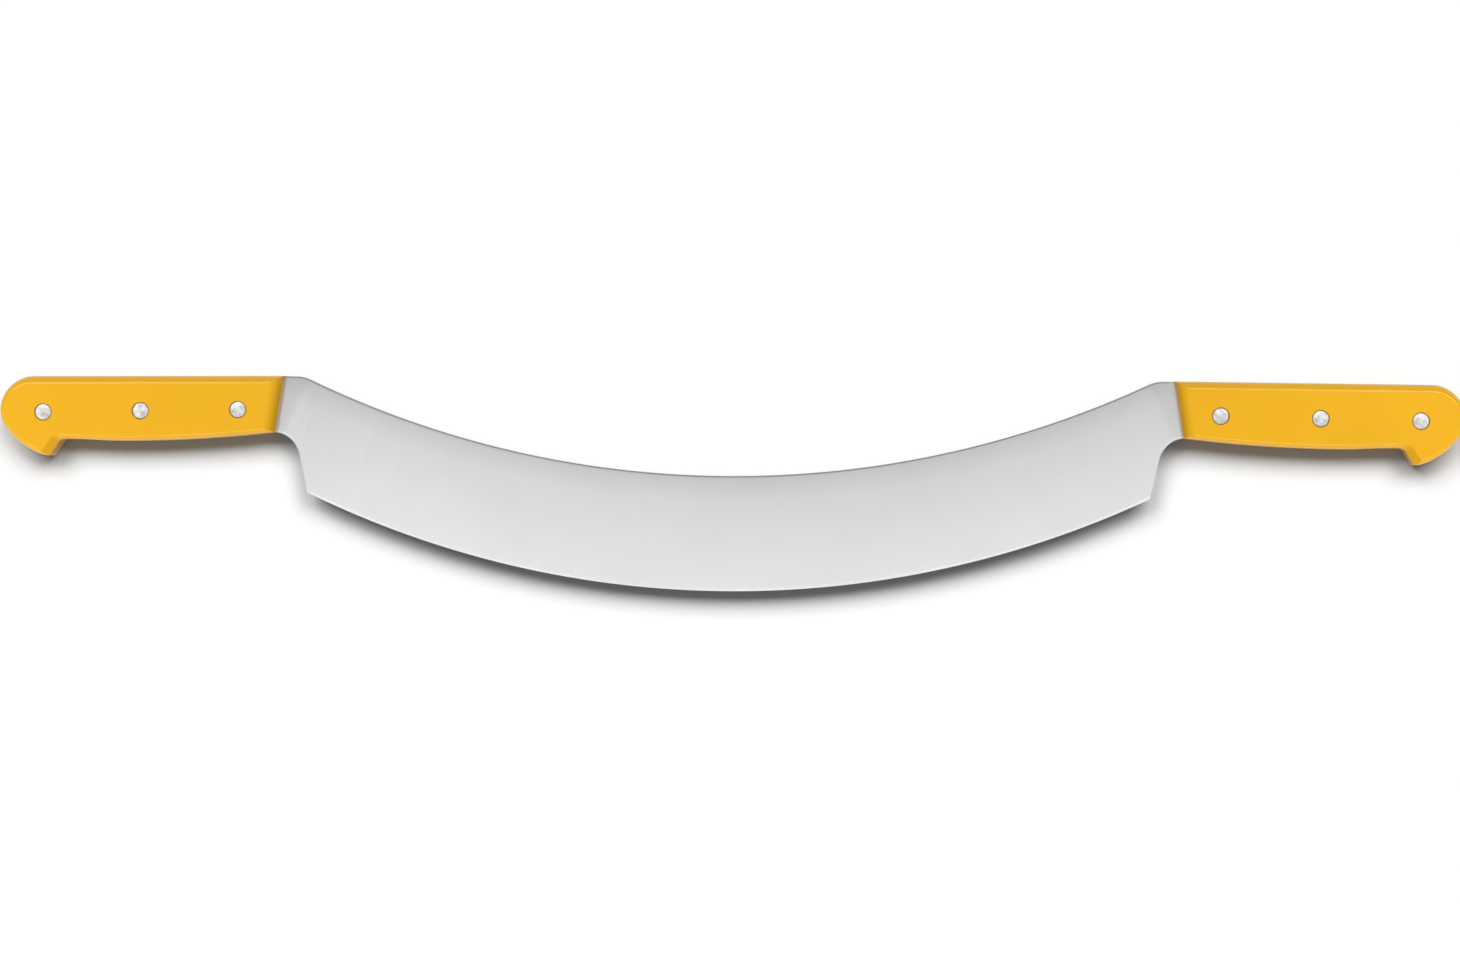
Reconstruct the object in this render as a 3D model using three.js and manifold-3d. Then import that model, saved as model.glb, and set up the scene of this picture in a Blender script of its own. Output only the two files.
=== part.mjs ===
// Two-handled cheese knife: one curved, ground blade with a full tang at each end, and on
// each tang a pair of hooked plastic scales held by three two-piece rivets.
//
// Millimetres. The knife lies flat: x runs along it, y points from the cutting edge to the
// spine, z points up out of the front face. While it is built the origin is the middle of
// the spine at half thickness; at the end the knife is set down on the origin.

import * as THREE from "three";
import { mergeVertices } from "three/addons/utils/BufferGeometryUtils.js";
import Module from "manifold-3d";

// Blade
const BLADE_SPAN = 400; // between the two handles, along their top edges
const BLADE_WIDTH = 51.9; // spine to cutting edge in the middle
const SPINE_RADIUS = 443; // hollow curve of the spine
const EDGE_RADIUS = 441; // belly of the cutting edge
const STOCK_THICKNESS = 2.5; // tangs, necks and the spine
const BEHIND_EDGE_THICKNESS = 0.7; // where the flat grind meets the cutting bevel
const BEVEL_WIDTH = 1.1;
const EDGE_LAND = 0.2; // thickness left on the cutting edge
const SPINE_EASE = 0.7; // chamfer along both corners of the spine
const RUN_OUT = 14; // length over which the grind comes up to full thickness at a neck
const RUN_OUT_CLEARANCE = 1; // flat left between the run-out and a handle

// Necks and heels
const NECK_FLAT = 8.4; // from the corner of the neck to the handle
const NECK_CORNER_RADIUS = 15;
const NECK_RADIUS = 12; // hollow under the neck
const HEEL_SETBACK = 13.9; // heel corner to the lower front corner of the handle
const HEEL_LEAN = 12; // degrees

// Handles
const HANDLE_LENGTH = 129.2;
const HANDLE_DROOP = 0.4; // degrees
const FRONT_HEIGHT = 25.4;
const FRONT_SLANT = 9.3; // degrees
const BELLY_HEIGHT = 29.3;
const BELLY_POSITION = 72; // from the front of the handle to its fullest height
const ROOT_HEIGHT = 28.5; // where the hook begins
const BUTT_RADIUS = 15.6; // upper corner of the butt
const BUTT_LEAD = 8; // how far the lower curve of the butt is led straight down
const HOOK_DROP = 7.3; // tip of the hook below its root
const HOOK_LENGTH = 26.7; // inner face of the hook to the butt
const HOOK_ROOT_RADIUS = 3;
const HOOK_LEAN = 32; // degrees
const TIP_WIDTH = 6.2; // inner face of the hook to the start of the butt curve
const TIP_CHAMFER = 1;
const TIP_LEAD = 9; // how far the butt curve is led straight out of the tip
const TIP_RISE = 12; // degrees, slope of the butt curve at the tip

// Scales
const SCALE_THICKNESS = 8.25;
const SIDE_WALL = 3.25; // upright part of the side, below the rounded edge
const TOP_ROUND = 3.8; // widths of the rounded edges, seen from the face
const BUTT_ROUND = 2.2;
const FRONT_ROUND = 5.8;
const FINGER_ROUND = 2.3;
const HOOK_ROUND = 3.6;

// Rivets
const RIVET_INNER_INSET = 20.3; // from the front of the handle
const RIVET_OUTER_INSET = 20.4; // from the butt
const RIVET_INNER_DEPTH = 15.3; // below the top edge of the handle
const RIVET_OUTER_DEPTH = 16.3;
const HEAD_DIAMETER = 7.1;
const HEAD_HEIGHT = 2.5;
const HEAD_CROWN = 0.15;
const HEAD_RECESS = 0.1; // crown of the head below the face of the scale
const SLEEVE_DIAMETER = 5;
const PIN_DIAMETER = 3.2;
const PIN_LEAD = 0.4; // chamfer on the end of a pin
const RIVET_CLEARANCE = 0.1; // all round a head, a sleeve and a pin
const RIVET_END_GAP = 0.5; // ahead of the ends of a sleeve and a pin

// Fineness of the facets
const CHORD_ERROR = 0.03;
const BEND_STEPS = 8; // along each bend of the underside
const BUTT_STEPS = 12; // along the lower curve of the butt
const ROUND_STEPS = 4;
const RIVET_SEGMENTS = 24;
const GRIND_ROWS = 6;
const STATION_PITCH = 10; // along the blade
const RUN_OUT_PITCH = 2;

// How far a cutting shape reaches past what it cuts
const OVERSHOOT = 6;

const steel = new THREE.MeshStandardMaterial({ color: 0xc9cacb, roughness: 0.34, metalness: 1 });
const plastic = new THREE.MeshStandardMaterial({ color: 0xf5b224, roughness: 0.38, metalness: 0 });
const aluminium = new THREE.MeshStandardMaterial({ color: 0xdcd8d2, roughness: 0.3, metalness: 1 });

const wasm = await Module();
wasm.setup();

const { degToRad, lerp, clamp } = THREE.MathUtils;
const heelLean = degToRad(HEEL_LEAN);
const hookLean = degToRad(HOOK_LEAN);
const tipRise = degToRad(TIP_RISE);
const handleDroop = degToRad(HANDLE_DROOP);
const frontSlope = Math.tan(degToRad(FRONT_SLANT));
const halfStock = STOCK_THICKNESS / 2;
const halfBehindEdge = BEHIND_EDGE_THICKNESS / 2;
const halfHandle = halfStock + SCALE_THICKNESS;
const handleFront = BLADE_SPAN / 2;
const topLevel = spineY(handleFront - NECK_FLAT);
const hookTipY = -(ROOT_HEIGHT + HOOK_DROP);

// Outlines

function vec(x, y) {
  return new THREE.Vector2(x, y);
}

/** Points along an elliptical arc from one angle to another, both ends included. */
function arc(centre, radiusX, radiusY, from, to) {
  const step = 2 * Math.acos(1 - CHORD_ERROR / Math.max(radiusX, radiusY));
  const count = Math.max(2, Math.ceil(Math.abs(to - from) / step));
  const points = [];
  for (let i = 0; i <= count; i += 1) {
    const angle = lerp(from, to, i / count);
    points.push(vec(centre.x + radiusX * Math.cos(angle), centre.y + radiusY * Math.sin(angle)));
  }
  return points;
}

/** Drops points that repeat the one before them. */
function withoutRepeats(points) {
  return points.filter((point, i) => i === 0 || point.distanceTo(points[i - 1]) > CHORD_ERROR);
}

/**
 * Moves each side of a counterclockwise outline to its left by the width given for that
 * side. Corners stay sharp; along a curve the width passes evenly from side to side.
 */
function inset(points, widths) {
  const count = points.length;
  const smoothTurn = Math.sin(Math.PI / 8);
  const normals = points.map((point, i) => {
    const side = points[(i + 1) % count].clone().sub(point).normalize();
    return vec(-side.y, side.x);
  });
  return points.map((point, i) => {
    const before = (i + count - 1) % count;
    const turn = normals[before].cross(normals[i]);
    if (Math.abs(turn) < smoothTurn) {
      const bisector = normals[before].clone().add(normals[i]).normalize();
      const width = (widths[before] + widths[i]) / 2;
      return point.clone().addScaledVector(bisector, width / bisector.dot(normals[i]));
    }
    const x = (widths[before] * normals[i].y - widths[i] * normals[before].y) / turn;
    const y = (widths[i] * normals[before].x - widths[before] * normals[i].x) / turn;
    return vec(point.x + x, point.y + y);
  });
}

// Solids

function solidOf(geometry) {
  geometry.deleteAttribute("normal");
  geometry.deleteAttribute("uv");
  const merged = mergeVertices(geometry);
  const vertProperties = new Float32Array(merged.attributes.position.array);
  const triVerts = new Uint32Array(merged.index.array);
  return new wasm.Manifold(new wasm.Mesh({ numProp: 3, vertProperties, triVerts }));
}

function geometryOf(solid) {
  const mesh = solid.getMesh();
  const geometry = new THREE.BufferGeometry();
  geometry.setAttribute("position", new THREE.BufferAttribute(mesh.vertProperties, 3));
  geometry.setIndex(new THREE.BufferAttribute(mesh.triVerts, 1));
  geometry.computeVertexNormals();
  return geometry;
}

function indexedGeometry(positions, index) {
  const geometry = new THREE.BufferGeometry();
  geometry.setAttribute("position", new THREE.Float32BufferAttribute(positions, 3));
  geometry.setIndex(index);
  return geometry;
}

/** Body of revolution about z from [radius, z] pairs that start and end on the axis. */
function turned(profile) {
  const points = profile.map(([radius, z]) => vec(radius, z));
  return new THREE.LatheGeometry(points, RIVET_SEGMENTS).rotateX(Math.PI / 2);
}

/** Closed skin over levels of equally many points, each level wound counterclockwise. */
function stacked(levels) {
  const count = levels[0].points.length;
  const positions = [];
  const index = [];
  for (const { points, z } of levels) {
    points.forEach((point) => positions.push(point.x, point.y, z));
  }
  for (let level = 0; level + 1 < levels.length; level += 1) {
    const low = level * count;
    const high = low + count;
    for (let i = 0; i < count; i += 1) {
      const next = (i + 1) % count;
      index.push(low + i, low + next, high + next);
      index.push(low + i, high + next, high + i);
    }
  }
  const top = levels.length - 1;
  for (const [a, b, c] of THREE.ShapeUtils.triangulateShape(levels[0].points, [])) {
    index.push(a, c, b);
  }
  for (const corners of THREE.ShapeUtils.triangulateShape(levels[top].points, [])) {
    index.push(...corners.map((corner) => top * count + corner));
  }
  return indexedGeometry(positions, index);
}

/** Closed skin over sections along x, each a list of [y, half thickness] from top to foot. */
function skinned(sections) {
  const rows = sections[0].rows.length;
  const positions = [];
  const index = [];
  for (const { x, rows: pairs } of sections) {
    pairs.forEach(([y, half]) => positions.push(x, y, half));
    pairs.forEach(([y, half]) => positions.push(x, y, -half));
  }
  const front = (section, row) => section * 2 * rows + row;
  const back = (section, row) => front(section, row) + rows;
  const quad = (a, b, c, d) => index.push(a, b, c, a, c, d);
  const last = sections.length - 1;
  const foot = rows - 1;
  for (let s = 0; s < last; s += 1) {
    for (let row = 0; row < foot; row += 1) {
      quad(front(s, row), front(s, row + 1), front(s + 1, row + 1), front(s + 1, row));
      quad(back(s, row), back(s + 1, row), back(s + 1, row + 1), back(s, row + 1));
    }
    quad(front(s, 0), front(s + 1, 0), back(s + 1, 0), back(s, 0));
    quad(front(s, foot), back(s, foot), back(s + 1, foot), front(s + 1, foot));
  }
  for (let row = 0; row < foot; row += 1) {
    quad(front(0, row), back(0, row), back(0, row + 1), front(0, row + 1));
    quad(front(last, row), front(last, row + 1), back(last, row + 1), back(last, row));
  }
  return indexedGeometry(positions, index);
}

// Handle outline: origin at the upper front corner, x towards the butt, y up

/** Point on the slanted front of a handle, at a depth below its top edge. */
function frontAt(depth) {
  return vec(depth * frontSlope, -depth);
}

/** Top edge and butt, from the upper front corner to the tip of the hook. */
function topAndButt() {
  const upper = vec(HANDLE_LENGTH - BUTT_RADIUS, -BUTT_RADIUS);
  const back = vec(HANDLE_LENGTH, -BUTT_RADIUS);
  const backLead = vec(back.x, back.y - BUTT_LEAD);
  const tip = vec(HANDLE_LENGTH - HOOK_LENGTH + TIP_WIDTH, hookTipY);
  const tipLead = vec(tip.x + TIP_LEAD * Math.cos(tipRise), tip.y + TIP_LEAD * Math.sin(tipRise));
  const lower = new THREE.CubicBezierCurve(back, backLead, tipLead, tip);
  return withoutRepeats([
    frontAt(0),
    ...arc(upper, BUTT_RADIUS, BUTT_RADIUS, Math.PI / 2, 0),
    ...lower.getPoints(BUTT_STEPS),
  ]);
}

const rootRadius = Math.min(HOOK_ROOT_RADIUS, HOOK_DROP / 2);
const hookRoot = vec(HANDLE_LENGTH - HOOK_LENGTH - rootRadius * Math.cos(hookLean), -ROOT_HEIGHT);

/** Underside and inner face of the hook, from the lower front corner to the hook's tip. */
function fingerCurve() {
  const foot = frontAt(FRONT_HEIGHT);
  const belly = vec(BELLY_POSITION, -BELLY_HEIGHT);
  const frontBend = vec((foot.x + belly.x) / 2, belly.y);
  const rearBend = vec((belly.x + hookRoot.x) / 2, belly.y);
  const rearLevel = vec(rearBend.x, hookRoot.y);
  const front = new THREE.QuadraticBezierCurve(foot, frontBend, belly);
  const rear = new THREE.CubicBezierCurve(belly, rearBend, rearLevel, hookRoot);
  const rootCentre = vec(hookRoot.x, hookRoot.y - rootRadius);
  const rootArc = arc(rootCentre, rootRadius, rootRadius, Math.PI / 2, hookLean);
  const faceTop = rootArc[rootArc.length - 1];
  const faceFootY = hookTipY + TIP_CHAMFER;
  const faceFoot = vec(faceTop.x + (faceTop.y - faceFootY) * Math.tan(hookLean), faceFootY);
  return withoutRepeats([
    ...front.getPoints(BEND_STEPS),
    ...rear.getPoints(BEND_STEPS),
    ...rootArc,
    faceFoot,
    vec(faceFoot.x + TIP_CHAMFER, hookTipY),
  ]);
}

function handleOutline() {
  return [...topAndButt(), ...fingerCurve().reverse()];
}

/** Rivet centres of a handle by name. */
function rivetPlaces() {
  const inner = vec(RIVET_INNER_INSET, -RIVET_INNER_DEPTH);
  const outer = vec(HANDLE_LENGTH - RIVET_OUTER_INSET, -RIVET_OUTER_DEPTH);
  return { inner, middle: inner.clone().lerp(outer, 0.5), outer };
}

function onRightHandle(point) {
  return point.clone().rotateAround(vec(0, 0), -handleDroop).add(vec(handleFront, topLevel));
}

// Blade

function spineY(x) {
  return SPINE_RADIUS - Math.sqrt(SPINE_RADIUS ** 2 - x ** 2);
}

function edgeY(x) {
  return EDGE_RADIUS - BLADE_WIDTH - Math.sqrt(EDGE_RADIUS ** 2 - x ** 2);
}

/** Spine from the middle of the blade, round the neck corner, to the right handle. */
function spineAndNeck() {
  const centre = vec(0, SPINE_RADIUS);
  const cornerY = topLevel - NECK_CORNER_RADIUS;
  const reach = SPINE_RADIUS + NECK_CORNER_RADIUS;
  const corner = vec(Math.sqrt(reach ** 2 - (SPINE_RADIUS - cornerY) ** 2), cornerY);
  const touch = corner.clone().sub(centre).angle();
  return [
    ...arc(centre, SPINE_RADIUS, SPINE_RADIUS, 1.5 * Math.PI, touch),
    ...arc(corner, NECK_CORNER_RADIUS, NECK_CORNER_RADIUS, touch - Math.PI, Math.PI / 2),
  ];
}

/** From the lower front corner of the right handle, round the heel, to mid-edge. */
function neckAndEdge() {
  const start = onRightHandle(frontAt(FRONT_HEIGHT));
  const heel = vec(start.x - HEEL_SETBACK, edgeY(start.x - HEEL_SETBACK));
  const along = vec(Math.sin(heelLean), Math.cos(heelLean));
  const away = vec(along.y, -along.x);
  const toStart = start.clone().sub(heel);
  const chord = Math.sqrt(NECK_RADIUS ** 2 - (toStart.dot(away) - NECK_RADIUS) ** 2);
  const touch = heel.clone().addScaledVector(along, toStart.dot(along) - chord);
  const hollow = touch.clone().addScaledVector(away, NECK_RADIUS);
  const startAngle = start.clone().sub(hollow).angle();
  const centre = vec(0, EDGE_RADIUS - BLADE_WIDTH);
  const heelAngle = heel.clone().sub(centre).angle();
  return [
    ...arc(hollow, NECK_RADIUS, NECK_RADIUS, startAngle, Math.PI - heelLean),
    ...arc(centre, EDGE_RADIUS, EDGE_RADIUS, heelAngle, 1.5 * Math.PI),
  ];
}

/** Plan of the blade with both tangs. */
function bladePlan() {
  const tang = handleOutline().map(onRightHandle);
  const right = withoutRepeats([...spineAndNeck(), ...tang, ...neckAndEdge()]);
  const left = right.slice(1, -1).map((point) => vec(-point.x, point.y));
  return [...right, ...left.reverse()];
}

/** Half thickness left by the wheel, which lifts off as it nears a handle. */
function groundHalf(x, y, taper) {
  const frontX = handleFront + (topLevel - y) * frontSlope;
  const near = Math.max(0, RUN_OUT - frontX + Math.abs(x)) / (RUN_OUT - RUN_OUT_CLEARANCE);
  return lerp(halfStock, halfBehindEdge, taper) + (halfStock - halfBehindEdge) * near ** 2;
}

/** Section of the ground blade: eased spine, tapered faces and cutting bevels. */
function groundSection(x) {
  const bevelY = edgeY(x) + BEVEL_WIDTH;
  const easedY = spineY(x) - SPINE_EASE;
  const bevelSlope = (halfBehindEdge - EDGE_LAND / 2) / BEVEL_WIDTH;
  const rows = [[spineY(x) + SPINE_EASE, groundHalf(x, easedY, 0) - 2 * SPINE_EASE]];
  for (let row = 0; row <= GRIND_ROWS; row += 1) {
    const taper = row / GRIND_ROWS;
    const y = lerp(easedY, bevelY, taper);
    rows.push([y, groundHalf(x, y, taper)]);
  }
  rows.push([edgeY(x) - EDGE_LAND / 4 / bevelSlope, EDGE_LAND / 4]);
  return { x, rows };
}

/** Section clear of a tang, past its butt. */
function openSection(x) {
  const upper = topLevel + OVERSHOOT;
  const lower = topLevel + 2 * hookTipY;
  const rows = groundSection(0).rows.map((_, row, all) => [
    lerp(upper, lower, row / (all.length - 1)),
    STOCK_THICKNESS,
  ]);
  return { x, rows };
}

/** Places along the right half of the blade, closer together where the grind runs out. */
function stations() {
  const end = onRightHandle(frontAt(FRONT_HEIGHT)).x;
  const runOut = end - HEEL_SETBACK - RUN_OUT_PITCH;
  const wide = Math.ceil(runOut / STATION_PITCH);
  const close = Math.ceil((end - runOut) / RUN_OUT_PITCH);
  const places = [];
  for (let i = 0; i < wide; i += 1) {
    places.push((runOut * i) / wide);
  }
  for (let i = 0; i <= close; i += 1) {
    places.push(lerp(runOut, end, i / close));
  }
  return places;
}

/** Space between the two wheels that grind the faces, open over the tangs. */
function groundSpace() {
  const right = stations();
  const left = right.slice(1).reverse().map((x) => -x);
  const past = handleFront + HANDLE_LENGTH + OVERSHOOT;
  const sections = [...left, ...right].map(groundSection);
  return skinned([openSection(-past), ...sections, openSection(past)]);
}

function makeBlade() {
  const plan = new THREE.Shape(bladePlan());
  const plate = new THREE.ExtrudeGeometry(plan, { depth: STOCK_THICKNESS, bevelEnabled: false });
  plate.translate(0, 0, -halfStock);
  let blade = solidOf(plate).intersect(solidOf(groundSpace()));
  const radius = SLEEVE_DIAMETER / 2 + RIVET_CLEARANCE;
  for (const place of Object.values(rivetPlaces()).map(onRightHandle)) {
    for (const x of [place.x, -place.x]) {
      const hole = new THREE.CylinderGeometry(radius, radius, 2 * STOCK_THICKNESS, RIVET_SEGMENTS);
      hole.rotateX(Math.PI / 2).translate(x, place.y, 0);
      blade = blade.subtract(solidOf(hole));
    }
  }
  return geometryOf(blade);
}

// Scales

/** Levels of a rounded edge: share of the edge's width moved in, and height. */
function roundedEdge() {
  const height = SCALE_THICKNESS - SIDE_WALL;
  const levels = [];
  for (let step = 0; step <= ROUND_STEPS; step += 1) {
    const angle = ((step / ROUND_STEPS) * Math.PI) / 2;
    levels.push({ share: 1 - Math.cos(angle), z: halfHandle - height * (1 - Math.sin(angle)) });
  }
  return levels;
}

/** Scale before its finger side is cut: straight along the foot, rounded on its edges. */
function scaleBlank() {
  const points = [frontAt(-hookTipY), ...topAndButt().reverse()];
  const widths = points.map((point, i) => {
    const middleY = (point.y + points[(i + 1) % points.length].y) / 2;
    return lerp(TOP_ROUND, BUTT_ROUND, clamp(-middleY / BUTT_RADIUS, 0, 1));
  });
  widths[widths.length - 1] = FRONT_ROUND;
  const levels = roundedEdge().map(({ share, z }) => ({
    points: inset(points, widths.map((width) => width * share)),
    z,
  }));
  return stacked([{ points, z: halfStock }, ...levels]);
}

/** Cutter for the underside and the hook, flared to leave a rounded edge at the face. */
function fingerCutter() {
  const curve = fingerCurve();
  const tip = curve[curve.length - 1];
  const lead = curve[0].clone().sub(curve[1]).setLength(2 * FRONT_ROUND);
  const start = curve[0].clone().add(lead);
  const end = vec(tip.x + OVERSHOOT, tip.y - OVERSHOOT);
  const points = [end, ...curve.slice(0, -1).reverse(), start, vec(start.x, end.y)];
  const widths = points.map((point, i) => {
    const middleX = (point.x + points[(i + 1) % points.length].x) / 2;
    const atHook = clamp((middleX - hookRoot.x) / rootRadius, 0, 1);
    return lerp(FINGER_ROUND, HOOK_ROUND, atHook);
  });
  const levels = roundedEdge().map(({ share, z }) => ({
    points: inset(points, widths.map((width) => -width * share)),
    z,
  }));
  const flared = levels[levels.length - 1].points;
  const below = { points, z: halfStock - OVERSHOOT };
  const above = { points: flared, z: halfHandle + OVERSHOOT };
  return stacked([below, ...levels, above]);
}

/** Cutter for one rivet: a way through for the sleeve and a pocket for the head. */
function rivetCutter(place) {
  const shank = SLEEVE_DIAMETER / 2 + RIVET_CLEARANCE;
  const head = HEAD_DIAMETER / 2 + RIVET_CLEARANCE;
  const floor = halfHandle - HEAD_RECESS - HEAD_HEIGHT;
  const cutter = turned([
    [0, halfStock - OVERSHOOT],
    [shank, halfStock - OVERSHOOT],
    [shank, floor],
    [head, floor],
    [head, halfHandle + OVERSHOOT],
    [0, halfHandle + OVERSHOOT],
  ]);
  return cutter.translate(place.x, place.y, 0);
}

function makeScale() {
  let scale = solidOf(scaleBlank()).subtract(solidOf(fingerCutter()));
  for (const place of Object.values(rivetPlaces())) {
    scale = scale.subtract(solidOf(rivetCutter(place)));
  }
  return geometryOf(scale);
}

// Rivets

const headTop = halfHandle - HEAD_RECESS;
const headFoot = headTop - HEAD_HEIGHT;

/** Crowned face of a rivet head, from its rim to its middle. */
function crownedHead() {
  const radius = HEAD_DIAMETER / 2;
  return [
    [radius, headTop - HEAD_CROWN],
    [radius / 2, headTop - HEAD_CROWN / 4],
    [0, headTop],
  ];
}

/** Front half of a rivet: a head on a sleeve that reaches through to the back scale. */
function makeSleeve() {
  const bore = PIN_DIAMETER / 2 + RIVET_CLEARANCE;
  const sleeveFoot = -headFoot + RIVET_END_GAP;
  return turned([
    [0, headFoot],
    [bore, headFoot],
    [bore, sleeveFoot],
    [SLEEVE_DIAMETER / 2, sleeveFoot],
    [SLEEVE_DIAMETER / 2, headFoot],
    [HEAD_DIAMETER / 2, headFoot],
    ...crownedHead(),
  ]);
}

/** Back half of a rivet: a head on a pin that fills the sleeve. */
function makePin() {
  const radius = PIN_DIAMETER / 2;
  const end = headFoot - RIVET_END_GAP;
  const head = crownedHead().reverse();
  return turned([
    ...head.map(([r, z]) => [r, -z]),
    [HEAD_DIAMETER / 2, -headFoot],
    [radius, -headFoot],
    [radius, end - PIN_LEAD],
    [radius - PIN_LEAD, end],
    [0, end],
  ]);
}

// Assembly

function addPiece(parent, name, geometry, material) {
  const piece = new THREE.Mesh(geometry, material);
  piece.name = name;
  parent.add(piece);
  return piece;
}

/** Scales and rivets of one handle, laid out for the right end of the blade. */
function makeHandle(side, scale, sleeve, pin) {
  const handle = new THREE.Group();
  handle.name = `${side}_handle`;
  handle.position.set(handleFront, topLevel, 0);
  handle.rotation.z = -handleDroop;
  addPiece(handle, `${side}_front_scale`, scale, plastic);
  addPiece(handle, `${side}_back_scale`, scale, plastic).scale.z = -1;
  for (const [name, place] of Object.entries(rivetPlaces())) {
    addPiece(handle, `${side}_${name}_rivet_sleeve`, sleeve, aluminium).position.set(place.x, place.y, 0);
    addPiece(handle, `${side}_${name}_rivet_pin`, pin, aluminium).position.set(place.x, place.y, 0);
  }
  return handle;
}

function makeKnife() {
  const knife = new THREE.Group();
  knife.name = "cheese_knife";
  addPiece(knife, "blade", makeBlade(), steel);
  const shared = [makeScale(), makeSleeve(), makePin()];
  const leftEnd = new THREE.Group();
  leftEnd.name = "left_end";
  leftEnd.scale.x = -1;
  leftEnd.add(makeHandle("left", ...shared));
  knife.add(leftEnd, makeHandle("right", ...shared));
  const box = new THREE.Box3().setFromObject(knife, true);
  const middle = box.getCenter(new THREE.Vector3());
  knife.position.set(-middle.x, -middle.y, -box.min.z);
  return knife;
}

export default makeKnife();
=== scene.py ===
"""Looks of the two-handled cheese knife.

The knife lies on the backs of its handles and is seen from nearly straight above. Every CAD node is
replaced by a finer mesh of the same shape with its own finish. Lengths are in millimetres until
a mesh is made; outlines have their origin in the middle of the spine, at half thickness. Finishes,
lamps, floor and camera are in metres.
"""

import math

import bpy
import numpy as np
from mathutils import Matrix, Vector
from mathutils.geometry import delaunay_2d_cdt

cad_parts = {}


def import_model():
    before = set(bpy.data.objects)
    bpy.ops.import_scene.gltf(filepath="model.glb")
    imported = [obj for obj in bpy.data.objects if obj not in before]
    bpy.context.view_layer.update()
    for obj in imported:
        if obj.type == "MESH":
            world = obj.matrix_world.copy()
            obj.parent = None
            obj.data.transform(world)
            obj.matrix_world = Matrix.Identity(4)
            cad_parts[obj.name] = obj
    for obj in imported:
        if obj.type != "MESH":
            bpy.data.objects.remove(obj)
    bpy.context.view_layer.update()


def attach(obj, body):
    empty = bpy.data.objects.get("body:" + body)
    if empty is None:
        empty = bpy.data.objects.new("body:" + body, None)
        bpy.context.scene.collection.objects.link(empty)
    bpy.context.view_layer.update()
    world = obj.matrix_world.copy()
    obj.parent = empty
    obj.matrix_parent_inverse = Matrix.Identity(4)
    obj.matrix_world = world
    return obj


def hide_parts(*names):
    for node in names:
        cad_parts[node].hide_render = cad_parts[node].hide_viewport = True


MM = 0.001
SIDES = (("left", -1), ("right", 1))

# Blade
BLADE_SPAN = 400.0
BLADE_WIDTH = 51.9
SPINE_RADIUS = 443.0
EDGE_RADIUS = 441.0
STOCK = 2.5
BEHIND_EDGE = 0.7
BEVEL_WIDTH = 1.1
EDGE_LAND = 0.2
SPINE_EASE = 0.9
NECK_EASE = 0.8
RUN_OUT = 14.0
RUN_OUT_CLEARANCE = 1.0
NECK_FLAT = 8.4
NECK_CORNER_RADIUS = 15.0
NECK_RADIUS = 12.0
HEEL_SETBACK = 13.9
HEEL_LEAN = math.radians(12)

# Largest share of the half thickness that the rounding of the spine and of the neck takes
SPINE_EASE_SHARE = 0.6
NECK_EASE_SHARE = 0.7

# Handles
HANDLE_LENGTH = 129.2
HANDLE_DROOP = math.radians(0.4)
FRONT_HEIGHT = 25.4
FRONT_SLOPE = math.tan(math.radians(9.3))
BELLY_HEIGHT = 29.3
BELLY_POSITION = 72.0
ROOT_HEIGHT = 28.5
BUTT_RADIUS = 15.6
BUTT_LEAD = 8.0
HOOK_DROP = 7.3
HOOK_LENGTH = 26.7
HOOK_ROOT_RADIUS = 3.0
HOOK_LEAN = math.radians(32)
TIP_WIDTH = 6.2
TIP_CHAMFER = 1.0
TIP_LEAD = 9.0
TIP_RISE = math.radians(12)
SCALE_THICKNESS = 8.25
SIDE_WALL = 3.25
TOP_ROUND = 3.8
BUTT_ROUND = 2.2
FRONT_ROUND = 5.8
FINGER_ROUND = 2.3
HOOK_FACET = 3.6
HOOK_FACET_HEIGHT = 3.0

# Rivets
RIVET_INNER = np.array((20.3, -15.3))
RIVET_OUTER = np.array((HANDLE_LENGTH - 20.4, -16.3))
RIVET_PLACES = {
    "inner": RIVET_INNER,
    "middle": (RIVET_INNER + RIVET_OUTER) / 2,
    "outer": RIVET_OUTER,
}
HEAD_RADIUS = 3.55
HEAD_HEIGHT = 2.5
HEAD_CROWN = 0.15
HEAD_RECESS = 0.1
SLEEVE_RADIUS = 2.5
PIN_RADIUS = 1.6
PIN_LEAD = 0.4
RIVET_CLEARANCE = 0.1
RIVET_END_GAP = 0.5
HEAD_CHAMFER = 0.15
SEAM_WIDTH = 0.35
SEAM_DEPTH = 0.35

# Fineness of the meshes
CHORD_ERROR = 0.004
LONGEST_SIDE = 2.5
BEND_STEPS = 40
ROUND_STEPS = 14
EASE_STEPS = 4
CROWN_STEPS = 5
RIVET_SEGMENTS = 64

# Width of the narrow band inside an edge, and how far a cutter reaches beyond what it cuts
SUPPORT = 0.25
OVERSHOOT = 6.0

# Smaller turns belong to a curve, and more upright normals to a flat face
SHARPEST_BEND = math.pi / 8
FLAT_NORMAL = 0.9

# Points that fill the faces of the blade
BODY_COLUMNS = 64
BODY_ROWS = 22
EDGE_SHARE = 0.02
RUN_OUT_LEAD = 3.0
RUN_OUT_PITCH = 1.0
TANG_START = 8.0
TANG_FOOT = -33.0
TANG_PITCH = 6.0
HOLE_MARGIN = 1.0
RIM_MARGIN = 0.7
HOLE_SLACK = 0.05
MERGE_DISTANCE = 1e-6
INSIDE_ONLY = 1

# Shading: weight of large faces, and angles in degrees above which an edge stays crisp
LARGE_FACE_WEIGHT = 80
BLADE_CREASE = 35
SCALE_CREASE = 11
RIVET_CREASE = 32

# Finishes in the order of the materials of the blade and of the scales
FACE, BEVEL_AND_NECK_HIGHLIGHT, EASE, RIM = range(4)
BODY, SEAM = range(2)

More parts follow.
